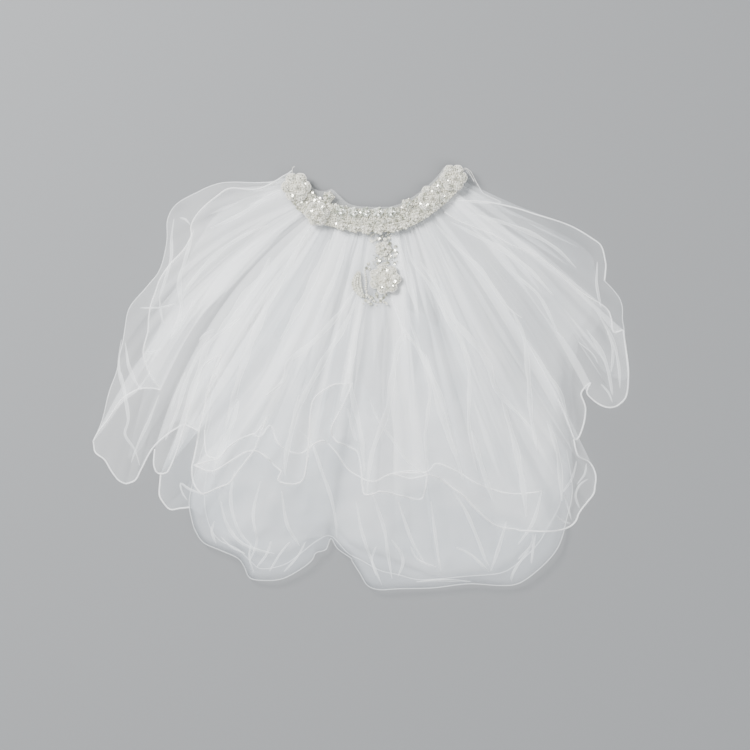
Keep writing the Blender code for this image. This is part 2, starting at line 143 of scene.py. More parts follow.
def height_map(*names):
    """Height of the uppermost of these solids over a grid of places, softened to a cloth's curves."""
    trees = [tree_of(name) for name in names]
    heights = np.full((len(MAP_X), len(MAP_Y)), np.nan)
    for i, x in enumerate(MAP_X):
        for j, y in enumerate(MAP_Y):
            hits = [met_from_above(tree, x, y)[0] for tree in trees]
            hits = [hit.z for hit in hits if hit]
            if hits:
                heights[i, j] = max(hits)
    wide, deep = heights.shape
    for _ in range(SPREAD_CELLS):
        padded = np.pad(heights, 1, constant_values=np.nan)
        near = np.stack([padded[a : a + wide, b : b + deep] for a in range(3) for b in range(3)])
        known = ~np.isnan(near)
        total = np.where(known, near, 0).sum(0)
        count = known.sum(0)
        fill = np.isnan(heights) & (count > 0)
        heights[fill] = total[fill] / count[fill] * SPREAD_FALL
    heights[np.isnan(heights)] = 0.0
    for _ in range(2):
        padded = np.pad(heights, 1, mode="edge")
        weights = [(0, 1, 0.15), (2, 1, 0.15), (1, 0, 0.15), (1, 2, 0.15), (1, 1, 0.4)]
        heights = sum(padded[a : a + wide, b : b + deep] * w for a, b, w in weights)
    return heights


def height_on(heights, x, y):
    """Height at x, y from a height map."""
    i = np.clip((x - MAP_X[0]) / CELL, 0, len(MAP_X) - 1.001)
    j = np.clip((y - MAP_Y[0]) / CELL, 0, len(MAP_Y) - 1.001)
    a, b = i.astype(int), j.astype(int)
    f, g = i - a, j - b
    low = heights[a, b] * (1 - g) + heights[a, b + 1] * g
    high = heights[a + 1, b] * (1 - g) + heights[a + 1, b + 1] * g
    return low * (1 - f) + high * f


def finely(points, step):
    """A smooth line through points in millimetres, sampled about every step metres."""
    p = np.array(points, float) * MM
    gaps = np.linalg.norm(np.diff(p, axis=0), axis=1)
    t = [0.0]
    for i, gap in enumerate(gaps):
        n = max(1, int(round(gap / step)))
        t += [i + (k + 1) / n for k in range(n)]
    return curve_through(p, np.array(t))


EDGE_STEP = 0.0023  # how far apart the places along a cloth's edge are


def edge_path(parts):
    """A cloth's outer edge from its parts: places, layers over each, and where each part runs."""
    places, layers, spans = [], [], []
    for kind, layer, points in parts:
        line = finely(points, EDGE_STEP)
        if places:
            line = line[1:]
        spans.append((kind, max(0, len(places) - 1), len(places) + len(line)))
        places += list(line)
        layers += [layer] * len(line)
    return np.array(places), np.array(layers, float), spans


def soft_noise(x, y, size, seed):
    """An even, wandering unevenness from about -1 to 1 with features of about that size."""
    draw = np.random.RandomState(seed)
    waves = 7
    total = np.zeros_like(x)
    for _ in range(waves):
        angle, phase = draw.uniform(0, math.tau), draw.uniform(0, math.tau)
        stretch = draw.uniform(0.6, 1.7)
        along = x * math.cos(angle) + y * math.sin(angle)
        total += np.sin(along * math.tau / size * stretch + phase)
    return total / (waves / 2)


def new_mesh(name, points, faces, look, smooth=True):
    """A piece from its points and faces, in one material."""
    mesh = bpy.data.meshes.new(name)
    mesh.from_pydata([tuple(p) for p in points], [], faces)
    mesh.update()
    mesh.materials.append(look)
    if smooth:
        mesh.polygons.foreach_set("use_smooth", [True] * len(mesh.polygons))
    made = bpy.data.objects.new(name, mesh)
    bpy.context.scene.collection.objects.link(made)
    return made


def grid_faces(lines, rows):
    """Faces of a surface whose points stand line by line, with that many rows in each."""
    starts = [i * rows + j for i in range(lines - 1) for j in range(rows - 1)]
    return [(a, a + 1, a + rows + 1, a + rows) for a in starts]


def cloth(name, grid, look):
    """A single surface from a grid of places: lines by rows by 3."""
    return new_mesh(name, grid.reshape(-1, 3), grid_faces(*grid.shape[:2]), look)


def tube_points(path, radius, sides):
    """Points and faces of a thin cord along a path; radius is one number or one for each place."""
    path = np.asarray(path)
    along = np.gradient(path, axis=0)
    along /= np.linalg.norm(along, axis=1)[:, None] + 1e-12
    side = np.cross(along, (0, 0, 1))
    side /= np.linalg.norm(side, axis=1)[:, None] + 1e-12
    up = np.cross(side, along)
    radius = np.broadcast_to(radius, (len(path),))[:, None, None]
    turn = np.arange(sides) * math.tau / sides
    ring = side[:, None] * np.cos(turn)[None, :, None] + up[:, None] * np.sin(turn)[None, :, None]
    points = (path[:, None] + ring * radius).reshape(-1, 3)
    faces = []
    for a in range(0, (len(path) - 1) * sides, sides):
        for k in range(sides):
            m = (k + 1) % sides
            faces.append((a + k, a + m, a + sides + m, a + sides + k))
    faces.append(tuple(range(sides))[::-1])
    faces.append(tuple((len(path) - 1) * sides + k for k in range(sides)))
    return points, faces


def joined(parts):
    """Several (points, faces) as one."""
    points, faces, n = [], [], 0
    for more_points, more_faces in parts:
        points.append(np.asarray(more_points))
        faces += [tuple(k + n for k in face) for face in more_faces]
        n += len(more_points)
    return np.concatenate(points), faces


def pattern(material, kind, scale):
    """A procedural texture on a material, in the piece's own metres."""
    nodes, links = material.node_tree.nodes, material.node_tree.links
    made = nodes.new(kind)
    if kind == "ShaderNodeTexVoronoi":
        made.feature = "DISTANCE_TO_EDGE"
    made.inputs["Scale"].default_value = scale
    links.new(nodes.new("ShaderNodeTexCoord").outputs["Object"], made.inputs["Vector"])
    return made


def new_look(name, kind, scale, low, high, finish):
    """A material whose colour runs between two tones, (position, colour) each, over a texture."""
    made = bpy.data.materials.new(name)
    made.use_nodes = True
    nodes, links = made.node_tree.nodes, made.node_tree.links
    shader = nodes["Principled BSDF"]
    texture = pattern(made, kind, scale)
    tone = nodes.new("ShaderNodeValToRGB")
    for element, (position, colour) in zip(tone.color_ramp.elements, (low, high)):
        element.position = position
        element.color = (*colour, 1)
    links.new(texture.outputs[0], tone.inputs["Fac"])
    links.new(tone.outputs["Color"], shader.inputs["Base Color"])
    for socket, value in finish.items():
        shader.inputs[socket].default_value = value
    return made, texture


def add_relief(material, texture, strength, depth, invert=False):
    """Raises a material's surface by the distance that a texture gives."""
    nodes, links = material.node_tree.nodes, material.node_tree.links
    bump = nodes.new("ShaderNodeBump")
    bump.invert = invert
    bump.inputs["Strength"].default_value = strength
    bump.inputs["Distance"].default_value = depth
    links.new(texture.outputs["Distance"], bump.inputs["Height"])
    links.new(bump.outputs["Normal"], nodes["Principled BSDF"].inputs["Normal"])


def tulle(name, light, shade, cover, net_scale=1400):
    """Fine net: a see-through white weave with a slight mottle and the net's own grain."""
    finish = {"Roughness": 0.75, "Specular IOR Level": 0.2, "Alpha": cover}
    tones = (0.35, shade), (0.65, light)
    made, mottle = new_look(name, "ShaderNodeTexNoise", 22, *tones, finish)
    mottle.inputs["Detail"].default_value = 4
    add_relief(made, pattern(made, "ShaderNodeTexVoronoi", net_scale), 0.12, 0.0003)
    return made


upper_look = tulle("white_tulle", (0.92, 0.93, 0.93), (0.88, 0.90, 0.91), cover=0.26)
hem_look = tulle("tulle_hem", (0.95, 0.95, 0.94), (0.92, 0.93, 0.93), cover=0.92)
fold_look = tulle("tulle_fold", (0.94, 0.95, 0.95), (0.91, 0.93, 0.93), cover=0.45)
top_height = height_map("top_tier", "lower_tier", "folded_layers")
# The beaded drop presses the tulle down where it lies: places and reach, in millimetres
DROP_DENTS = [(29, 115, 22), (0, 122, 9), (-1, 110, 9), (1, 98, 9), (27, 153, 12)]
DENT_DEPTH = 0.0008
for x, y, reach in DROP_DENTS:
    apart = np.hypot(MAP_X[:, None] - x * MM, MAP_Y[None, :] - y * MM) / (reach * MM)
    top_height -= DENT_DEPTH * np.clip(1.25 - apart, 0, 1)
# The tier's outer edge from the left end of the headband round to the right: what each part is, how many
# layers of the cloth lie over it, and the places it passes, in millimetres
UPPER_EDGE = [
    ("hem", 0, [
        (-82, 248), (-121, 226), (-155, 226), (-170, 218), (-191, 200), (-203, 182), (-203, 168),
        (-212, 152), (-228, 135), (-240, 117), (-246, 101), (-253, 75), (-254, 57), (-260, 30),
        (-254, 8), (-239, -15),
    ]),
    ("hem", 1, [
        (-239, -15), (-262, -13), (-283, -24), (-292, -34), (-303, -51), (-314, -64), (-321, -77),
    ]),
    ("fold", 1, [
        (-321, -77), (-310, -51), (-301, -16), (-292, 11), (-283, 57), (-277, 84), (-257, 108),
        (-241, 129), (-233, 161), (-232, 189), (-221, 207), (-197, 221), (-166, 233), (-121, 233),
        (-94, 237),
    ]),
    ("turn", 2, [
        (-94, 237), (-119, 222), (-150, 210), (-176, 191), (-194, 165), (-208, 138), (-223, 105),
        (-238, 69), (-251, 33), (-272, -9), (-304, -56), (-321, -77),
    ]),
    ("hem", 2, [
        (-321, -77), (-318, -90), (-306, -100), (-296, -117), (-284, -127), (-272, -124), (-263, -109),
        (-250, -86), (-235, -70), (-222, -61), (-211, -57), (-194, -64),
    ]),
    ("turn", 1, [(-194, -64), (-217, -51), (-235, -66), (-247, -86)]),
    ("hem", 0, [
        (-247, -86), (-248, -103), (-245, -114), (-234, -115), (-228, -106), (-220, -86), (-209, -51),
        (-200, -16), (-190, 11), (-178, 21), (-166, 27),
    ]),
    ("hem", 0, [
        (-166, 27), (-175, 5), (-182, -16), (-193, -64), (-199, -94), (-202, -109), (-200, -126),
        (-190, -138), (-179, -135), (-166, -130), (-155, -124), (-144, -109), (-127, -87), (-122, -76),
        (-110, -46),
    ]),
    ("hem", 1, [(-110, -46), (-122, -64), (-132, -68), (-155, -81), (-170, -96), (-199, -105)]),
    ("hem", 2, [
        (-199, -105), (-175, -111), (-145, -93), (-126, -87), (-110, -96), (-102, -105), (-94, -111),
    ]),
    ("hem", 0, [
        (-94, -111), (-98, -122), (-88, -126), (-76, -126), (-67, -117), (-62, -81), (-59, -38),
        (-52, -21), (-31, -9), (-10, -7),
    ]),
    ("hem", 0, [
        (-10, -7), (-22, -36), (-35, -60), (-29, -75), (-4, -90), (2, -127), (6, -139), (24, -135),
        (47, -140), (70, -145), (76, -135), (79, -114),
    ]),
    ("hem", 1, [(79, -114), (59, -111), (38, -114)]),
    ("hem", 2, [(38, -114), (59, -120), (79, -115)]),
    ("hem", 0, [
        (79, -115), (96, -122), (115, -135), (133, -152), (150, -169), (164, -177), (191, -182),
        (215, -183), (238, -182), (254, -175), (264, -157), (278, -140), (281, -118), (274, -102),
        (259, -93), (254, -74),
    ]),
    ("turn", 1, [(254, -74), (245, -51), (235, -26)]),
    ("hem", 0, [
        (235, -26), (246, -51), (256, -74), (264, -64), (269, -38), (264, -19), (274, -7), (271, -19),
        (286, -32), (302, -36), (317, -24), (320, 0), (319, 21), (314, 57),
    ]),
    ("hem", 0, [
        (314, 57), (302, 54), (300, 70), (292, 84), (260, 104), (229, 132), (205, 147), (180, 158),
        (155, 172), (122, 185), (100, 198),
    ]),
]
PLY = 0.0007  # height between the cloth's own layers
LEAST_PLY = 0.0003  # the same where they lie on the floor
FLOOR_GAP = 0.0007  # least height of the lowest layer over the floor
ROWS = 1 - (1 - np.linspace(0, 1, 34)) ** 1.25  # shares of a line, closer together at the edge
# Unevenness of the pleats: the length of edge over which it returns, and how far it moves them
PLEAT_WANDER = [(0.13, 1.9), (0.057, 1.0), (0.31, 3.0)]
# How deep a pleat is along its line, by share of the way from the headband to the edge
PLEAT_ALONG = [0, 0.06, 0.25, 0.5, 0.75, 0.93, 1], [0.1, 0.45, 0.95, 1.0, 0.75, 0.35, 0.14]
PLEAT_LIFT = (0.0004, 0.0011)  # height of a pleat where it is faint, and what a strong one adds


def pleated(places, pleat, swing_most, seed):
    """Lines of a gathered cloth from the headband to its outer edge, and the lift of its pleats."""
    lines = fan_lines(line_of(places), places, ROWS)
    along = np.gradient(lines, axis=1)
    along /= np.linalg.norm(along, axis=2)[..., None] + 1e-12
    across = np.stack([-along[..., 1], along[..., 0]], 2)
    edge_way = np.gradient(places, axis=0)
    edge_way /= np.linalg.norm(edge_way, axis=1)[:, None] + 1e-12
    end_way = along[:, -1]
    crosswise = np.abs(edge_way[:, 0] * end_way[:, 1] - edge_way[:, 1] * end_way[:, 0])
    crosswise = softened(crosswise, 4)
    steps = np.linalg.norm(np.diff(places, axis=0), axis=1) * (crosswise[1:] + crosswise[:-1]) / 2
    run = np.concatenate([[0], np.cumsum(steps)])
    draw = np.random.RandomState(seed)
    phase = run * math.tau / pleat
    for size, push in PLEAT_WANDER:
        phase = phase + push * np.sin(run * math.tau / size + draw.uniform(0, math.tau))
    u = ROWS[None, :]
    strength = 0.8 + 1.0 * soft_noise(run[:, None] + 0 * u, u * 0.2, 0.12, seed + 1)
    strength = np.clip(strength, 0.04, 1.7)
    profile = np.interp(u, *PLEAT_ALONG)
    swing = swing_most * strength * profile * np.clip(1.25 * crosswise - 0.1, 0, 1)[:, None]
    lines = lines + across * (swing * np.sin(phase)[:, None])[..., None]
    lift = PLEAT_LIFT[0] + PLEAT_LIFT[1] * profile * strength
    return lines, lift * np.cos(phase)[:, None] * np.clip(u / 0.1, 0, 1)


def laid_cloth(parts, heights, pleat, swing_most, seed, drop=0.0):
    """A gathered cloth laid over the height map. Returns its grid, and the spans of its edge."""
    places, layers, spans = edge_path(parts)
    depth = softened(layers, 3)[:, None]
    lines, lift = pleated(places, pleat, swing_most, seed)
    x, y = lines[..., 0], lines[..., 1]
    z = height_on(heights, x, y) - drop - depth * PLY + lift
    z = np.maximum(z, FLOOR_GAP + LEAST_PLY * (3 - depth) + 0.3 * np.abs(lift))
    return np.stack([x, y, z], 2), spans


def edge_cord(name, grid, spans, kind, radius, look, row=-1):
    """A cord along those parts of a cloth's outer edge that are of this kind."""
    runs = [grid[first:last, row] for part, first, last in spans if part == kind]
    tubes = [tube_points(run + (0, 0, radius * 0.6), radius, 6) for run in runs]
    return new_mesh(name, *joined(tubes), look)


upper_grid, upper_spans = laid_cloth(UPPER_EDGE, top_height, pleat=0.023, swing_most=0.0066, seed=11)
upper_tier = cloth("upper_tier", upper_grid, upper_look)
# Pressed folds of the upper tier: narrow strips where the gathered tulle lies doubled, each with the
# places that it passes and its widest width, in millimetres
UPPER_FOLDS = [
    ([(-217, 191), (-210, 189), (-204, 182)], 2),
    ([(-240, 93), (-239, 78), (-236, 63)], 2),
    ([(-257, 30), (-248, 30), (-239, 34)], 2),
    ([(-198, 93), (-208, 74), (-217, 59), (-227, 47)], 2.5),
    ([(-193, 44), (-186, 52), (-175, 57)], 2),
    ([(-287, 6), (-283, -10), (-280, -27)], 2),
    ([(-251, 8), (-265, -13), (-282, -26), (-295, -40)], 2),
    ([(-210, 6), (-220, -18), (-227, -39)], 2.5),
    ([(-241, -21), (-253, -51), (-266, -78), (-275, -102)], 2.5),
    ([(283, 138), (282, 111), (287, 83)], 2.5),
    ([(294, 57), (301, 33), (299, 6)], 2.5),
    ([(287, -8), (296, -18), (301, -30)], 2),
    ([(-109, 143), (-118, 123), (-139, 98), (-156, 74), (-172, 51)], 7),
    ([(-112, 182), (-127, 176), (-156, 160), (-180, 140), (-200, 117), (-212, 98), (-217, 77)], 4),
    ([(-92, 225), (-109, 218), (-139, 198), (-162, 186), (-180, 178)], 4),
    ([(-224, 190), (-227, 166), (-227, 143), (-233, 119), (-241, 94)], 3),
    ([(-200, 176), (-209, 143), (-217, 114), (-215, 83), (-221, 62), (-227, 45)], 4),
    ([(-264, 83), (-241, 83), (-221, 88)], 2),
    ([(-282, 41), (-278, 16), (-270, -4), (-262, -15)], 3),
    ([(-287, 45), (-290, 12), (-282, -22), (-278, -50), (-282, -68), (-271, -86), (-265, -105)], 3),
    ([(1, 116), (-12, 96), (-25, 77), (-42, 57), (-60, 39), (-86, 18), (-92, -4), (-112, -22)], 5),
    ([(-1, 105), (-12, 77), (-24, 53), (-40, 27), (-54, 2), (-71, -30), (-85, -66)], 6),
    ([(1, 93), (-5, 53), (-13, 12), (-24, -30)], 5),
    ([(-145, 71), (-180, 42), (-192, 12), (-206, -30), (-217, -66), (-229, -99)], 6),
    ([(-179, 51), (-200, 16), (-212, -15), (-220, -42), (-234, -75)], 4),
    ([(37, 93), (50, 57), (43, 33), (36, -7), (31, -40), (13, -90), (7, -138)], 6),
    ([(44, 78), (50, 57), (67, 35), (82, 5), (96, -28), (104, -57), (114, -93)], 5),
    ([(52, 170), (62, 137), (82, 110), (100, 74), (119, 40), (128, 5), (128, -58), (137, -111)], 4),
    ([(71, 138), (91, 107), (109, 71), (138, 35), (152, 12), (160, -14), (191, -48), (204, -63)], 6),
    ([(90, 183), (114, 156), (143, 128), (172, 86), (191, 71)], 4),
    ([(167, 138), (191, 117), (214, 95), (235, 54), (242, 47)], 3),
    ([(179, 81), (194, 47), (199, 0), (202, -48), (209, -87)], 5),
    ([(197, 45), (218, 10), (238, -21), (247, -57)], 4),
    ([(53, 81), (80, -2), (79, -43), (76, -70), (79, -111)], 3),
    ([(11, -27), (20, -50), (37, -73), (53, -97), (68, -110)], 2),
    ([(77, 27), (85, -7), (98, -55), (113, -94), (121, -122)], 5),
    ([
        (-61, 179), (-76, 153), (-92, 122), (-109, 93), (-124, 57), (-138, 21), (-150, -21),
        (-162, -63),
    ], 8),
    ([(-37, 165), (-52, 129), (-66, 98), (-83, 66), (-95, 45)], 7),
    ([(-19, 165), (-25, 138), (-35, 111), (-47, 86)], 5),
    ([(44, 165), (52, 131), (59, 105), (68, 75)], 5),
    ([(107, 186), (137, 170), (173, 150), (203, 126), (229, 98)], 5),
    ([(131, 196), (167, 186), (203, 172), (234, 153), (257, 131)], 4),
    ([(269, 57), (287, 30), (296, 6), (301, -21)], 4),
    ([(282, 78), (301, 45), (308, 14), (310, -13)], 3),
    ([(-16, -36), (-6, -76)], 3),
    ([(-145, -27), (-155, -63), (-167, -90), (-176, -117)], 6),
    ([(-73, -21), (-80, -57), (-88, -90), (-90, -116)], 5),
    ([(-13, 33), (-11, -15), (-1, -63), (4, -111)], 5),
    ([(167, -27), (181, -75), (191, -123), (196, -165)], 6),
    ([(131, -63), (143, -105), (157, -147)], 5),
    ([(221, -51), (234, -93), (239, -147)], 5),
]
FOLD_SECTION = [(-1, 0.0), (-0.45, 0.0007), (0.45, 0.0007), (1, 0.0)]  # side and arch, in metres
FOLD_EDGES = [(3, 0.00042), (0, 0.0003)]  # which side of the strip has a cord, and its radius
FOLD_STEP = 0.004
FOLD_LOWEST = 0.002  # least height of a fold over the floor


def pressed_folds(name, table, heights, rise, look):
    """Doubled strips of a cloth, each a little arched and tapering to both ends."""
    parts = []
    for points, width in table:
        line = finely(points, FOLD_STEP)
        n = len(line)
        along = np.gradient(line, axis=0)
        along /= np.linalg.norm(along, axis=1)[:, None]
        across = np.stack([-along[:, 1], along[:, 0]], 1)
        taper = np.sin(np.linspace(0.08, math.pi - 0.08, n)) ** 0.7
        wander = 1 + 0.25 * np.sin(np.arange(n) * 0.55 + width)
        half = width * MM / 2 * taper * wander
        rows = []
        for side, arch in FOLD_SECTION:
            place = line + across * (half * side)[:, None]
            z = height_on(heights, place[:, 0], place[:, 1]) + rise + arch
            rows.append(np.column_stack([place, np.maximum(z, FOLD_LOWEST)]))
        parts.append((np.stack(rows, 1).reshape(-1, 3), grid_faces(n, len(rows))))
        for side, radius in FOLD_EDGES:
            parts.append(tube_points(rows[side], radius * np.clip(taper, 0.3, 1), 5))
    return new_mesh(name, *joined(parts), look)


upper_pleats = pressed_folds("upper_tier_pleats", UPPER_FOLDS, top_height, 0.0012, fold_look)
upper_hem = edge_cord("upper_tier_hem", upper_grid, upper_spans, "hem", 0.00095, hem_look)
upper_folds = edge_cord("upper_tier_folds", upper_grid, upper_spans, "fold", 0.0005, fold_look)
for piece in (upper_tier, upper_hem, upper_folds, upper_pleats):
    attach(piece, "root")
    piece.visible_shadow = False
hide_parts("top_tier")

# Inner fall of the upper tier: the back half of the same gathered length, which lies under the tongues
# and shows through them and past them at the right, where its corded side edge runs along the top.
INNER_EDGE = [
    ("turn", 2, [
        (-85, 230), (-119, 213), (-155, 191), (-186, 160), (-210, 122), (-229, 81), (-244, 40),
        (-256, -3), (-268, -51), (-280, -97),
    ]),
    ("turn", 1, [
        (-280, -97), (-265, -87), (-251, -63), (-236, -39), (-217, -15), (-196, 14), (-167, 30),
    ]),
    ("fold", 0, [(-167, 30), (-172, 6), (-179, -27), (-186, -63)]),
    ("hem", 0, [
        (-186, -63), (-185, -90), (-170, -96), (-155, -81), (-132, -68), (-119, -70), (-107, -57),
        (-97, -79), (-73, -90), (-47, -75), (-31, -87), (-13, -111), (13, -123), (38, -114), (77, -112),
        (91, -102), (113, -111), (143, -128), (179, -138), (215, -135),
    ]),
    ("turn", 0, [(215, -135), (239, -118), (253, -87), (257, -51), (253, -9), (259, 42)]),
    ("fold", 0, [(259, 42), (277, 28), (283, 17)]),
    ("turn", 0, [(283, 17), (292, 6), (313, -3), (320, 0)]),
    ("fold", 0, [(320, 0), (314, 66), (312, 89), (306, 101), (292, 116)]),
    ("hem", 0, [
        (292, 116), (293, 136), (289, 155), (279, 165), (250, 182), (209, 195), (184, 203), (151, 210),
        (119, 212), (101, 208),
    ]),
    ("turn", 1, [
        (101, 208), (143, 206), (181, 194), (221, 179), (257, 162), (277, 143), (282, 117), (284, 93),
        (287, 71), (277, 54), (260, 47),
    ]),
    ("turn", 1, [(260, 47), (251, 30), (251, -9), (246, -63), (234, -94), (215, -123), (191, -130)]),
    ("turn", 2, [
        (191, -130), (210, -106), (224, -75), (232, -39), (239, -9), (244, 33), (253, 51), (268, 66),
        (275, 86), (246, 111), (215, 134),
    ]),
    ("turn", 2, [(215, 134), (173, 158), (131, 179), (102, 196)]),
    ("turn", 2, [(102, 196), (107, 206), (114, 213)]),
    ("fold", 1, [(114, 213), (143, 209), (167, 209), (155, 216), (146, 221), (140, 231), (126, 248)]),
]
INNER_DROP = 0.0023  # how far it lies below the tongues
# The same white tulle as the tongues, with both tones darker: painted shade where it lies under them
inner_painted_shade_look = tulle("white_tulle_inner_painted_shade", (0.88, 0.90, 0.91), (0.82, 0.85, 0.87), cover=0.16)
inner_grid, inner_spans = laid_cloth(INNER_EDGE, top_height, 0.031, 0.0062, 29, INNER_DROP)
inner_fall = cloth("upper_tier_inner", inner_grid, inner_painted_shade_look)
inner_hem = edge_cord("upper_tier_inner_hem", inner_grid, inner_spans, "hem", 0.0009, hem_look)
inner_folds = edge_cord("upper_tier_inner_folds", inner_grid, inner_spans, "fold", 0.0005, fold_look)
for piece in (inner_fall, inner_hem, inner_folds):
    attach(piece, "root")
    piece.visible_shadow = False

# Lower tier: the longer length of the same tulle, gathered into the same seam. It falls to the bottom of
# the veil, where its corded hem shows, and a lobe of it comes out at the left between the tongues.
LOWER_EDGE = [
    ("fold", 0, [(-157, 57), (-179, -21), (-205, -75), (-240, -114)]),
    ("hem", 0, [(-240, -114), (-241, -135), (-239, -147), (-228, -159), (-217, -157), (-206, -155)]),
    ("fold", 0, [
        (-206, -155), (-193, -162), (-179, -174), (-162, -187), (-145, -195), (-126, -200),
        (-102, -196), (-73, -193), (-49, -190), (-34, -190), (-19, -201), (17, -208), (50, -211),
        (70, -228), (89, -237), (128, -237), (164, -232), (191, -206), (221, -183), (241, -147),
        (253, -111), (246, -63),
    ]),
]
LOWER_FOLDS = [
    ([(109, -135), (124, -158), (139, -193), (149, -219), (156, -230)], 3),
    ([(83, -147), (90, -200), (95, -231)], 2.5),
    ([(13, -135), (18, -150), (28, -182), (32, -210), (37, -240)], 3),
    ([(44, -147), (50, -165), (61, -195), (76, -222)], 2.5),
    ([(-6, -147), (1, -183), (13, -219), (25, -248)], 2.5),
    ([(187, -217), (203, -200), (205, -186)], 2.5),
    ([(173, -171), (163, -205), (154, -231)], 3),
    ([(-73, -63), (-58, -79), (-47, -110), (-36, -141), (-30, -171), (-29, -192)], 3),
    ([(-150, -111), (-155, -147), (-145, -183), (-126, -205)], 3),
    ([(-119, -123), (-128, -162), (-124, -195), (-133, -219)], 2.5),
    ([(-94, -135), (-88, -174), (-73, -201)], 2.5),
    ([(-167, -147), (-160, -174), (-145, -195), (-124, -205), (-103, -210)], 3),
    ([(215, -135), (205, -171), (187, -199)], 3),
    ([(-208, -147), (-214, -138), (-216, -127), (-205, -134), (-187, -140)], 2),
    ([(-174, -171), (-178, -183), (-173, -198)], 3),
    ([(-167, -190), (-155, -202), (-138, -210)], 2),
    ([(-131, -198), (-133, -214), (-128, -234)], 2),
    ([(-107, -195), (-112, -210), (-124, -226)], 2.5),
    ([(-85, -196), (-97, -211), (-109, -231)], 2),
    ([(-66, -196), (-76, -214), (-92, -232)], 2),
    ([(36, -193), (47, -208), (50, -222), (44, -237)], 2.5),
    ([(18, -201), (13, -217), (18, -236)], 2),
    ([(113, -202), (131, -211), (152, -231)], 2.5),
    ([(59, -201), (68, -217), (90, -226)], 2),
    ([(208, -187), (205, -205), (203, -222)], 2.5),
    ([(200, -207), (188, -222), (181, -234), (179, -244)], 2.5),
    ([(66, -244), (95, -242), (131, -244)], 2),
    ([(272, -122), (262, -129), (257, -142), (262, -157)], 2.5),
    ([(258, -100), (252, -121), (240, -138)], 2.5),
    ([(270, -103), (268, -116), (259, -128)], 2),
    ([(242, -140), (248, -156), (252, -171)], 2),
    ([(234, -165), (241, -172), (251, -175)], 2),
]
lower_height = height_map("lower_tier", "folded_layers")
# The lower tier's real blue-white tint, with both tones made darker still: painted shade of the lower
# layers
lower_painted_shade_look = tulle("blue_white_tulle", (0.78, 0.81, 0.83), (0.68, 0.72, 0.75), cover=0.26)
lower_grid, lower_spans = laid_cloth(LOWER_EDGE, lower_height, pleat=0.034, swing_most=0.0065, seed=41)
lower_tier = cloth("lower_fall", lower_grid, lower_painted_shade_look)
lower_hem = edge_cord("lower_fall_hem", lower_grid, lower_spans, "hem", 0.00095, hem_look)
lower_pleats = pressed_folds("lower_fall_pleats", LOWER_FOLDS, lower_height, 0.001, fold_look)
for piece in (lower_tier, lower_hem, lower_pleats):
    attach(piece, "root")
    piece.visible_shadow = False
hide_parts("lower_tier")

# Folded-under tulle: the rest of the lower tier, turned under in two soft rolls at the bottom and spread
# flat in the wings, three layers that lie a little inside one another. Only its own folds hold it.
ROLL_EDGE = [
    ("fold", 0, [
        (-176, -30), (-187, -75), (-198, -111), (-206, -147), (-203, -169), (-198, -184), (-188, -198),
        (-168, -207), (-148, -216), (-140, -226), (-133, -240), (-115, -243), (-94, -241), (-73, -230),
        (-59, -219), (-54, -210), (-42, -206), (-36, -193), (-28, -205), (-11, -217), (-11, -219),
        (-1, -235), (8, -249), (22, -254), (46, -253), (86, -252), (128, -247), (164, -249),
        (184, -248), (200, -240), (223, -220), (238, -199), (246, -171), (253, -135), (246, -87),
    ]),
]
MIDDLE_EDGE = [
    ("fold", 0, [
        (-167, -51), (-179, -87), (-186, -123), (-187, -153), (-181, -178), (-169, -195), (-148, -205),
        (-133, -219), (-119, -229), (-92, -224), (-73, -211), (-52, -195), (-36, -190), (-16, -210),
        (1, -219), (23, -231), (44, -236), (68, -242), (95, -241), (126, -238), (167, -234),
        (188, -222), (210, -201), (224, -178), (239, -147), (241, -99),
    ]),
]
HEAP_EDGE = [
    ("fold", 0, [
        (-155, -3), (-164, -63), (-174, -111), (-172, -147), (-162, -181), (-152, -201), (-119, -214),
        (-85, -207), (-59, -188), (-36, -178), (-11, -201), (17, -210), (49, -224), (89, -237),
        (128, -235), (164, -229), (191, -206), (215, -178), (229, -147), (234, -99), (229, -51),
    ]),
]
OUT_ROWS = 34  # rows of a roll's upper side, as far as its rim
UNDER_ROWS = 7  # rows of its underside
bundle_height = height_map("folded_layers")


def rolled(parts, inner, rim, crumple, seed, sink, base):
    """A cloth that runs out over the heap, rounds its edge and comes back under it.

    inner is the share of the way to the edge at which it starts, rim how far in from the edge it
    rounds, crumple the height of its wrinkles, sink how far it lies below the solid's top, and base
    the height of its underside.
    """
    places, _, spans = edge_path(parts)
    t = line_of(places)
    length = np.linalg.norm(places - gather_point(t), axis=1)[:, None]
    start = inner + 0.15 * soft_noise(t, 0 * t, 3.1, seed)[:, None]
    out = start + (1 - start) * np.linspace(0, 1, OUT_ROWS)
    back = np.array([1 - 0.015 * k * (1 + 0.35 * k) for k in range(1, UNDER_ROWS + 1)])
    u = np.hstack([out, np.tile(back, (len(t), 1))])
    lines = fan_lines(t, places, u)
    x, y = lines[..., 0], lines[..., 1]
    inset = (1 - u) * length
    within = fan_lines(t, places, np.minimum(u, 1 - rim * 0.8 / length))
    top = height_on(bundle_height, within[..., 0], within[..., 1]) - sink
    round_off = np.sqrt(np.clip(1 - (1 - np.clip(inset / rim, 0, 1)) ** 2, 0, 1))
    middle = base + (top - base) * 0.45
    upper = middle + (top - middle) * round_off
    under = middle + (base - middle) * round_off
    z = np.where(np.arange(u.shape[1])[None, :] < OUT_ROWS, upper, under)
    ridge = 1 - 2.2 * np.abs(soft_noise(x, y, 0.085, seed))
    small = 1 - 2.2 * np.abs(soft_noise(x, y, 0.036, seed + 3))
    wrinkle = crumple * (ridge + 0.45 * small) * np.clip(inset / 0.02, 0.15, 1)
    z = np.maximum(z + wrinkle * (z > base * 2), base)
    return np.stack([x, y, z], 2), spans
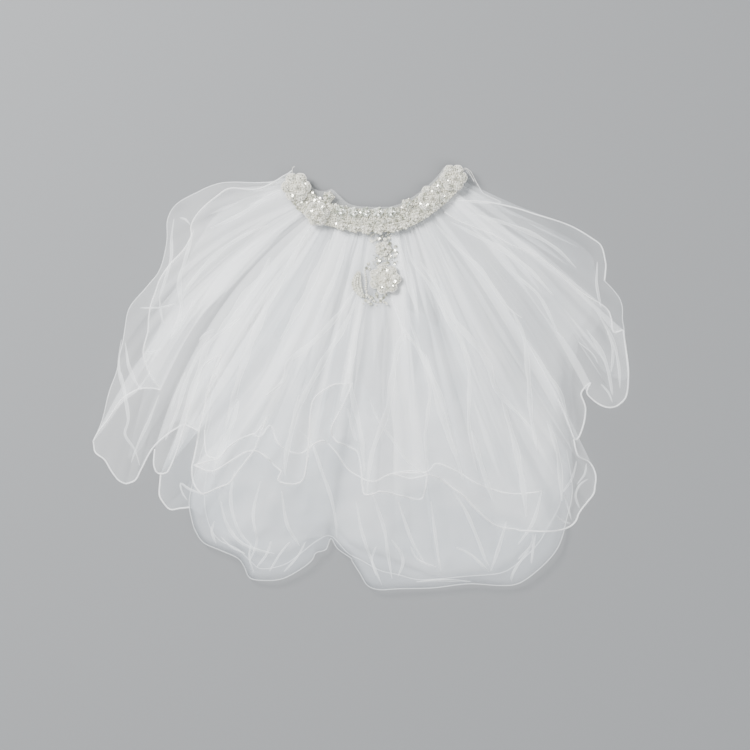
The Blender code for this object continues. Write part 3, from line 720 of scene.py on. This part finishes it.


# The outer roll: the lower tier's real blue-white tint, with both tones made darker still as painted
# shade of the lower layers
roll_painted_shade_look = tulle("blue_white_tulle_roll_painted_shade", (0.76, 0.79, 0.82), (0.66, 0.70, 0.74), cover=0.26)
heap_look = tulle("heap_tulle", (0.90, 0.91, 0.91), (0.80, 0.83, 0.84), cover=0.25)
middle_look = tulle("blue_white_tulle_middle", (0.86, 0.89, 0.91), (0.78, 0.82, 0.85), cover=0.13)
roll_grid, roll_spans = rolled(
    ROLL_EDGE, inner=0.28, rim=0.013, crumple=0.0014, seed=57, sink=0.0, base=0.0007
)
heap_grid, _ = rolled(
    HEAP_EDGE, inner=0.5, rim=0.016, crumple=0.0026, seed=71, sink=0.0045, base=0.0012
)
middle_grid, middle_spans = rolled(
    MIDDLE_EDGE, inner=0.4, rim=0.011, crumple=0.0019, seed=63, sink=0.0022, base=0.0009
)
RIM_ROW = OUT_ROWS - 1
folded_roll = cloth("folded_roll", roll_grid, roll_painted_shade_look)
roll_rim = edge_cord("folded_roll_rim", roll_grid, roll_spans, "fold", 0.0006, fold_look, RIM_ROW)
heap = cloth("folded_heap", heap_grid, heap_look)
middle_roll = cloth("folded_middle", middle_grid, middle_look)
middle_rim = edge_cord(
    "folded_middle_rim", middle_grid, middle_spans, "fold", 0.00055, fold_look, RIM_ROW
)
for piece in (roll_rim, folded_roll, middle_roll, middle_rim, heap):
    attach(piece, "root")
for piece in (folded_roll, middle_roll, middle_rim):
    piece.visible_shadow = False
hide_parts("folded_layers")

# Headband: a curved strip of corded ivory lace on a base of stiff net, about 225 mm across its ends.
# The tulle is gathered to it, and the flowers and beads are sewn over the lace.
def lace(name, light, shade, thread_scale):
    """Ivory lace: fine raised cords over a slightly darker ground, whose dark tone is painted shade in
    the hollows between the cords.
    """
    finish = {"Roughness": 0.6, "Sheen Weight": 0.15}
    tones = (0.02, light), (0.22, shade)
    made, threads = new_look(name, "ShaderNodeTexVoronoi", thread_scale, *tones, finish)
    add_relief(made, threads, 0.7, 0.0008, invert=True)
    return made


def dress(names, look):
    """Gives some of the solids their look."""
    for name in names:
        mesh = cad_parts[name].data
        mesh.materials.clear()
        mesh.materials.append(look)


# The second colour of each lace is painted shade in the hollows between its cords
lace_look = lace("ivory_lace", (0.80, 0.78, 0.66), (0.30, 0.29, 0.22), 420)
net_look = tulle("stiff_net", (0.70, 0.71, 0.70), (0.60, 0.61, 0.60), cover=0.28, net_scale=900)
dress(["headband"], lace_look)
dress(["net_base"], net_look)

# Lace flowers: raised flowers of corded lace at both ends, shells of cut crystal along the top, small
# flowers below, and the drop of the same lace on the tulle. Each is sewn flat on what lies below it.
END_FLOWERS = ["rosette_left_end", "rosette_left", "rosette_right", "rosette_right_end", "drop_rosette"]
BUDS = ["bud_left", "bud_right", "drop_bud"]
SHELLS = [f"shell_{k}" for k in range(1, 6)]
SMALL_FLOWERS = [f"flower_{k}" for k in range(1, 8)]


def glossy(name, light, shade, roughness, coat, metallic=0.0):
    """Beads: one gloss, with the colour wandering from bead to bead between two tones; on the cut
    crystal these two tones are painted reflection.
    """
    finish = {"Roughness": roughness, "Coat Weight": coat, "Coat Roughness": 0.05, "Metallic": metallic}
    return new_look(name, "ShaderNodeTexNoise", 260, (0.38, shade), (0.62, light), finish)[0]


flower_lace = lace("flower_lace", (0.88, 0.86, 0.76), (0.46, 0.44, 0.36), 520)
# Clear cut crystal given a dark and a bright tone: painted reflection of its facets
crystal_painted_reflection_look = glossy("cut_crystal", (0.88, 0.90, 0.82), (0.26, 0.28, 0.21), 0.06, 1.0)
dress(END_FLOWERS + BUDS + SMALL_FLOWERS + ["drop_leaf"], flower_lace)
dress(SHELLS, crystal_painted_reflection_look)

# Sewing thread: loose ends of white thread from the seam, a small knot at the left end of the headband
# and a slack loop at the right, each with the places that it passes, in millimetres.
THREADS = [
    [(-82, 244, 13), (-82, 248, 15), (-81, 251, 15.5), (-79, 251.5, 15)],
    [(-82, 249, 15), (-81, 251, 16), (-80, 250, 15)],
    [(120, 248, 13), (125, 250, 13), (131, 246, 12), (136, 237, 11), (140, 229, 10)],
    [(121, 246, 12), (126, 249, 12), (131, 242, 11), (135, 234, 10)],
]
THREAD_RADIUS = 0.00032
cord_look = lace("lace_cord", (0.95, 0.94, 0.89), (0.85, 0.83, 0.76), 900)
thread_tubes = []
for places in THREADS:
    t = np.linspace(0, len(places) - 1, 8 * len(places))
    thread_tubes.append(tube_points(curve_through(places, t) * MM, THREAD_RADIUS, 5))
threads = new_mesh("sewing_threads", *joined(thread_tubes), cord_look)
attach(threads, "root")

# Beadwork: pearls, small cut crystals and cupped sequins of 1.5 to 5 mm, sewn on one by one: in rings on
# the flowers, loosely on the tulle round the drop, and close together over the rest of the headband's
# lace. A lace cord runs round each of the large flowers.
BAND_FLOOR = ["top_tier", "lower_tier", "folded_layers", "net_base"]  # what the lace lies on
BAND_NODES = [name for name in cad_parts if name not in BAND_FLOOR]
band_trees = {name: tree_of(name) for name in BAND_NODES}


def face_of_band(x, y, names):
    """The uppermost point and its normal on these nodes at x, y, or None."""
    best = None
    for name in names:
        spot, normal = met_from_above(band_trees[name], x, y)
        if spot and (best is None or spot.z > best[0].z):
            best = (spot, normal)
    return best


def centre_of(name):
    """The middle of a flower, from above."""
    low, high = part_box(name)
    return np.array([(low[0] + high[0]) / 2, (low[1] + high[1]) / 2])


def outline(name, share, count):
    """Places along the petals' outline at a share of its radius, on the flower's face."""
    x, y = centre_of(name)
    flat = np.array([v.co[:2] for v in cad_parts[name].data.vertices]) - (x, y)
    angle, far = np.arctan2(flat[:, 1], flat[:, 0]), np.linalg.norm(flat, axis=1)
    found = []
    for a in np.arange(count) * math.tau / count:
        apart = np.abs((angle - a + math.pi) % math.tau - math.pi)
        radius = far[apart < 0.2].max() if (apart < 0.2).any() else far.max()
        for shrunk in (share, share * 0.94, share * 0.85):
            out = radius * shrunk
            spot = face_of_band(x + out * math.cos(a), y + out * math.sin(a), [name])
            if spot:
                found.append(np.array(spot[0]))
                break
    return found


def ball(detail):
    """Points and faces of a ball of radius 1."""
    made = bmesh.new()
    bmesh.ops.create_icosphere(made, subdivisions=detail, radius=1.0)
    points = np.array([v.co[:] for v in made.verts])
    faces = [tuple(v.index for v in f.verts) for f in made.faces]
    made.free()
    return points, faces


def cup(sides):
    """Points and faces of a sequin of radius 1: a flat cone that is open above."""
    rim = [(math.cos(a), math.sin(a), 0.10) for a in np.arange(sides) * math.tau / sides]
    return np.array(rim + [(0, 0, 0.0)]), [(k, (k + 1) % sides, sides) for k in range(sides)]


pearls, crystals, sequins, lace_cords = [], [], [], []
PEARL = (pearls, ball(2))
SEED_PEARL = (pearls, ball(1))
CRYSTAL = (crystals, ball(1))
SEQUIN = (sequins, cup(8))
draw = np.random.RandomState(7)


def sewn(kind, place, radius, lift, turn=None):
    """Adds one bead with its middle that far above a place; turn is a 3 by 3 matrix."""
    beads, (points, faces) = kind
    points = points * radius
    if turn is not None:
        points = points @ np.array(turn).T
    beads.append((points + (np.array(place) + (0, 0, lift)), faces))


def tilted(most):
    """A turn that leans a sequin a little, to any side."""
    lean = Vector((draw.uniform(-most, most), draw.uniform(-most, most), 1))
    return lean.to_track_quat("Z", "Y").to_matrix()


def sewn_in_middle(kind, name, radius, lift):
    """Adds the bead in the middle of a flower."""
    sewn(kind, face_of_band(*centre_of(name), [name])[0], radius, lift)


# Rings on each flower from the outside in, at a share of the petals' radius, and how many places each
# has. The beads' radii and how far they stand over the lace are in metres.
for name in END_FLOWERS:
    ring = outline(name, 0.95, 60)
    lace_cords.append(tube_points(np.array(ring + ring[:1]) + (0, 0, 0.0003), 0.00055, 6))
    for k, spot in enumerate(outline(name, 0.84, 34)):
        sewn(PEARL if k % 3 else CRYSTAL, spot, 0.00085 + 0.00025 * draw.rand(), 0.0006)
    for k, spot in enumerate(outline(name, 0.62, 22)):
        if k % 2:
            sewn(SEQUIN, spot, 0.0019, 0.0008, tilted(0.4))
            sewn(SEED_PEARL, spot, 0.0007, 0.0013)
        else:
            sewn(CRYSTAL, spot, 0.0011, 0.0006)
    for spot in outline(name, 0.34, 11):
        sewn(PEARL, spot, 0.0013, 0.0009)
    sewn_in_middle(PEARL, name, 0.0024, 0.0012)
for name in BUDS:
    for share, count, radius in ((0.86, 13, 0.0012), (0.5, 7, 0.0015)):
        for k, spot in enumerate(outline(name, share, count)):
            sewn(CRYSTAL if k % 2 else PEARL, spot, radius, 0.0007)
    sewn_in_middle(CRYSTAL, name, 0.0024, 0.001)
for name in SMALL_FLOWERS + SHELLS:
    for k, spot in enumerate(outline(name, 0.8, 10)):
        if name in SHELLS:
            sewn(CRYSTAL, spot, 0.0012, 0.0006)
        elif k % 2:
            sewn(PEARL, spot, 0.0010, 0.0007)
        else:
            sewn(SEQUIN, spot, 0.0016, 0.0007)
    sewn_in_middle(PEARL, name, 0.0019, 0.0008)
# The leaf of the drop: rows of four beads across it, one above the other
LEAF_ROWS = 22
low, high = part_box("drop_leaf")
for k in range(LEAF_ROWS):
    y = low[1] + (high[1] - low[1]) * (k + 0.5) / LEAF_ROWS
    across = [x for x in np.linspace(low[0], high[0], 40) if face_of_band(x, y, ["drop_leaf"])]
    for n, share in enumerate((0.04, 0.35, 0.65, 0.96) if across else ()):
        spot = face_of_band(across[0] + (across[-1] - across[0]) * share, y, ["drop_leaf"])
        if spot:
            sewn(PEARL if (n + k) % 2 else CRYSTAL, spot[0], 0.0012, 0.0006)


def on_tulle(x, y):
    """The place on the upper tier at x, y."""
    return x, y, height_on(top_height, np.array([x]), np.array([y]))[0]


# Beads sewn straight on the tulle above and below the drop: the middle and spread of each group, in
# millimetres, and how many beads it has where the lace leaves room for all
SPRIG = [
    (24, 166, 13, 46), (33, 150, 11, 34), (22, 140, 9, 26), (36, 138, 9, 20), (12, 131, 7, 12),
    (18, 93, 9, 20), (8, 92, 7, 12), (30, 92, 8, 8),
]
for middle_x, middle_y, spread, count in SPRIG:
    for _ in range(count):
        a, r = draw.uniform(0, math.tau), spread * math.sqrt(draw.rand())
        x, y = (middle_x + r * math.cos(a)) * MM, (middle_y + r * math.sin(a)) * MM
        if face_of_band(x, y, BAND_NODES):
            continue
        kind = draw.rand()
        if kind < 0.4:
            sewn(SEED_PEARL, on_tulle(x, y), draw.uniform(0.0008, 0.0014), 0.0016)
        elif kind < 0.7:
            sewn(CRYSTAL, on_tulle(x, y), draw.uniform(0.0008, 0.0015), 0.0016)
        else:
            sewn(SEQUIN, on_tulle(x, y), 0.0021, 0.0016, tilted(0.4))
# A row of beads on the tulle along the hollow side of the leaf
LEAF_ROW = [(4, 128), (6, 118), (6, 108), (7, 100), (12, 93), (20, 89), (29, 89)]
for x, y in finely(LEAF_ROW, 0.0026):
    place = np.array(on_tulle(x, y)) + (draw.uniform(-0.0007, 0.0007), 0, 0)
    sewn(SEED_PEARL, place, draw.uniform(0.0011, 0.0015), 0.0014)
# The rest of the headband's lace: beads wherever one still fits between the others and the flowers
TRIES = 9000
BEAD_GAP = 0.0021
FLATNESS = 0.7  # least upward part of the lace's normal for a bead to sit on it
low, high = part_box("headband")
taken = [points.mean(0)[:2] for points, _ in pearls + crystals + sequins]
for _ in range(TRIES):
    x, y = draw.uniform(low[0], high[0]), draw.uniform(low[1], high[1])
    spot = face_of_band(x, y, ["headband"])
    if spot is None or spot[1].z < FLATNESS:
        continue
    if min(np.hypot(t[0] - x, t[1] - y) for t in taken) < BEAD_GAP:
        continue
    if face_of_band(x, y, BAND_NODES)[0].z > spot[0].z + 0.0005:
        continue
    taken.append((x, y))
    kind = draw.rand()
    if kind < 0.42:
        sewn(SEED_PEARL, spot[0], draw.uniform(0.0008, 0.0013), 0.0006)
    elif kind < 0.72:
        sewn(CRYSTAL, spot[0], draw.uniform(0.0009, 0.0014), 0.0006)
    else:
        sewn(SEQUIN, spot[0], 0.0018, 0.0010, tilted(0.5))
pearl_look = glossy("pearl", (0.93, 0.90, 0.80), (0.70, 0.68, 0.55), 0.22, 0.6)
sequin_look = glossy("sequin", (0.95, 0.93, 0.82), (0.42, 0.42, 0.32), 0.16, 0.8, metallic=0.5)
for piece in (
    new_mesh("pearls", *joined(pearls), pearl_look),
    new_mesh("cut_crystals", *joined(crystals), crystal_painted_reflection_look, smooth=False),
    new_mesh("sequins", *joined(sequins), sequin_look, smooth=False),
    new_mesh("petal_cords", *joined(lace_cords), cord_look),
):
    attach(piece, "root")

# Studio: a plain floor of pale grey, a soft main light at the upper left, two weaker ones and a faint
# even sky. The camera looks straight down, as the photograph does.
FLOOR_SIDE = 6.0
FLOOR_GREY = (0.26, 0.265, 0.27, 1)
CAMERA_HEIGHT = 3.0
VIEW_CENTRE = (0.0167, 0.0028)
VIEW_WIDTH = 0.90
SENSOR_WIDTH = 36
SKY_COLOUR = (0.85, 0.92, 1.0, 1)
SKY_STRENGTH = 0.38
floor_mesh = bpy.data.meshes.new("floor")
half = FLOOR_SIDE / 2
corners = [(-half, -half, 0), (half, -half, 0), (half, half, 0), (-half, half, 0)]
floor_mesh.from_pydata(corners, [], [(0, 1, 2, 3)])
floor = bpy.data.objects.new("floor", floor_mesh)
bpy.context.scene.collection.objects.link(floor)
floor_look = bpy.data.materials.new("pale_floor")
floor_look.use_nodes = True
floor_shader = floor_look.node_tree.nodes["Principled BSDF"]
floor_shader.inputs["Base Color"].default_value = FLOOR_GREY
floor_shader.inputs["Roughness"].default_value = 0.9
floor_shader.inputs["Specular IOR Level"].default_value = 0.1
floor_mesh.materials.append(floor_look)


def soft_light(name, place, side, power):
    """A square lamp that is aimed at the middle of the veil."""
    lamp = bpy.data.lights.new(name, "AREA")
    lamp.shape = "SQUARE"
    lamp.size = side
    lamp.energy = power
    made = bpy.data.objects.new(name, lamp)
    bpy.context.scene.collection.objects.link(made)
    made.location = place
    made.rotation_euler = (-Vector(place)).to_track_quat("-Z", "Y").to_euler()


soft_light("key_light", (-1.5, 1.3, 1.9), side=1.1, power=150)
soft_light("fill_light", (1.9, -0.9, 2.1), side=2.0, power=38)
soft_light("top_light", (0.3, -0.6, 3.4), side=2.4, power=48)
world = bpy.context.scene.world or bpy.data.worlds.new("studio")
bpy.context.scene.world = world
world.use_nodes = True
world.node_tree.nodes["Background"].inputs["Color"].default_value = SKY_COLOUR
world.node_tree.nodes["Background"].inputs["Strength"].default_value = SKY_STRENGTH
lens = bpy.data.cameras.new("camera")
lens.sensor_width = SENSOR_WIDTH
lens.lens = SENSOR_WIDTH * CAMERA_HEIGHT / VIEW_WIDTH
lens.dof.use_dof = False
camera = bpy.data.objects.new("camera", lens)
bpy.context.scene.collection.objects.link(camera)
camera.location = (*VIEW_CENTRE, CAMERA_HEIGHT)
bpy.context.scene.camera = camera
